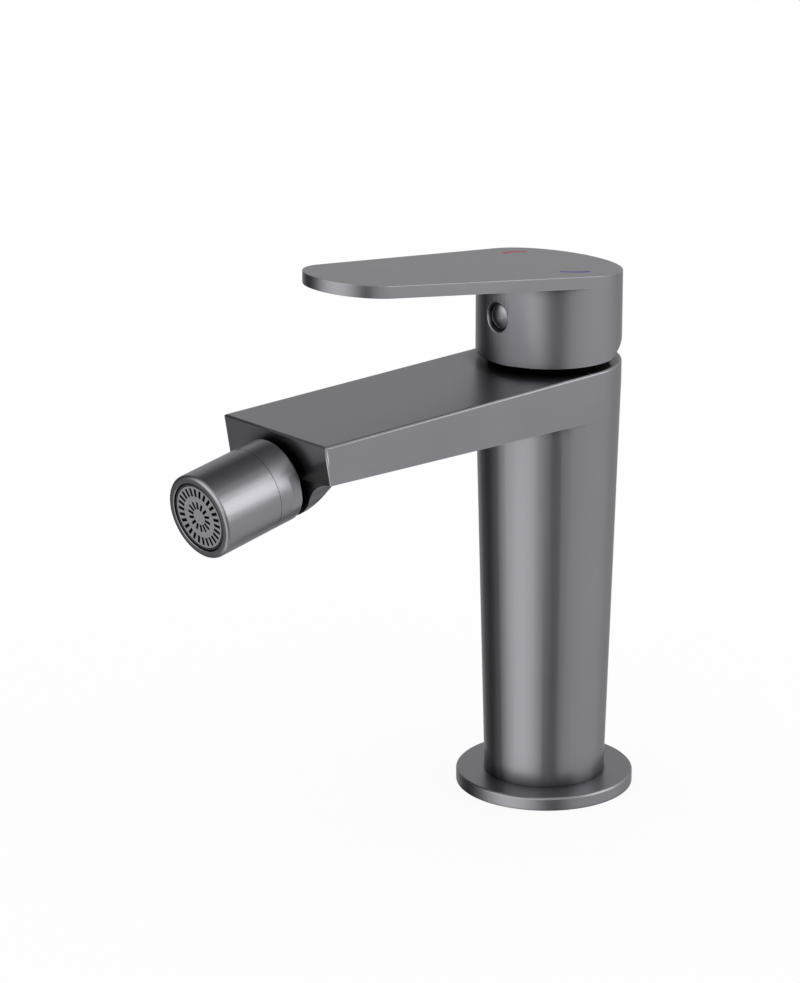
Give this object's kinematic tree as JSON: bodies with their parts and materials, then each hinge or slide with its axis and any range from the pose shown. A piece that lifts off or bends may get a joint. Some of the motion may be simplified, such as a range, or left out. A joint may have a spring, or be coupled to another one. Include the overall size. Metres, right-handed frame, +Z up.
{
  "type": "bidet mixer tap",
  "caption": "Single-lever deck-mounted bidet mixer with a flat tapering lever, a straight spout and a ball-jointed swivel outlet.",
  "frame": {"origin": "middle of the round flange, in the plane of its underside, where it rests on the deck", "axes": "+Z up along the column, -Y towards the user along the spout and the lever, +X to the user's right, on the cold side"},
  "size_m": [0.052, 0.1601, 0.1701],
  "materials": {
    "coated_brass": "brass with a satin gun-metal grey coating",
    "black_brass": "turned and blackened",
    "stainless": "turned stainless steel",
    "disc_ceramic": "lapped technical ceramic",
    "black_rubber": "moulded sealing rubber",
    "white_plastic": "moulded",
    "blue_plastic": "moulded",
    "orange_plastic": "moulded",
    "grey_plastic": "moulded, coloured to match the metal",
    "black_plastic": "moulded",
    "light_plastic": "moulded",
    "red_enamel": "inlaid enamel",
    "blue_enamel": "inlaid enamel"
  },
  "bodies": {
    "mixer_body": {"base_ring": "coated_brass", "base_gasket": "black_rubber", "body": "coated_brass", "cartridge_base": "white_plastic", "inlet_seals": "black_rubber", "port_seals": "black_rubber", "fixed_disc": "disc_ceramic", "cartridge_housing": "white_plastic", "housing_seal": "black_rubber", "limit_ring": "orange_plastic", "cartridge_nut": "black_brass", "ball_stem": "coated_brass", "stem_seal": "black_rubber"},
    "cartridge_rotor": {"rotor": "white_plastic", "spindle_pin": "stainless"},
    "lever_set": {"lever": "coated_brass", "spindle": "stainless", "set_screw": "stainless", "screw_plug": "grey_plastic", "hot_mark": "red_enamel", "cold_mark": "blue_enamel"},
    "moving_disc": {"sliding_disc": "disc_ceramic", "disc_carrier": "blue_plastic"},
    "ball_ring": {"ball_seal": "black_rubber"},
    "outlet": {"collar": "coated_brass", "seat_ring": "white_plastic", "barrel": "coated_brass", "aerator_washer": "black_rubber", "flow_regulator": "blue_plastic", "aerator_housing": "black_plastic", "aerator_screens": "stainless", "aerator_face": "light_plastic"}
  },
  "joints": [
    {"name": "temperature_turn", "type": "hinge", "parent": "mixer_body", "child": "cartridge_rotor", "pos_m": [0, 0, 0.127], "axis": [0, 0, 1], "range_deg": [-45, 45]},
    {"name": "flow_lift", "type": "hinge", "parent": "cartridge_rotor", "child": "lever_set", "pos_m": [0, 0, 0.134], "axis": [-1, 0, 0], "range_deg": [0, 22]},
    {"name": "disc_slide", "type": "slide", "parent": "cartridge_rotor", "child": "moving_disc", "axis": [0, -1, 0], "range_m": [0, 0.00458]},
    {"name": "outlet_spin", "type": "hinge", "parent": "mixer_body", "child": "ball_ring", "pos_m": [0, -0.11262, 0.11486], "axis": [0, -0.9839, -0.1788], "continuous": true},
    {"name": "outlet_tilt", "type": "hinge", "parent": "ball_ring", "child": "outlet", "pos_m": [0, -0.11262, 0.11486], "axis": [1, 0, 0], "range_deg": [-12, 12]}
  ],
  "couplings": [
    {"joint": "disc_slide", "follows": "flow_lift", "m_per_rad": 0.011927}
  ]
}
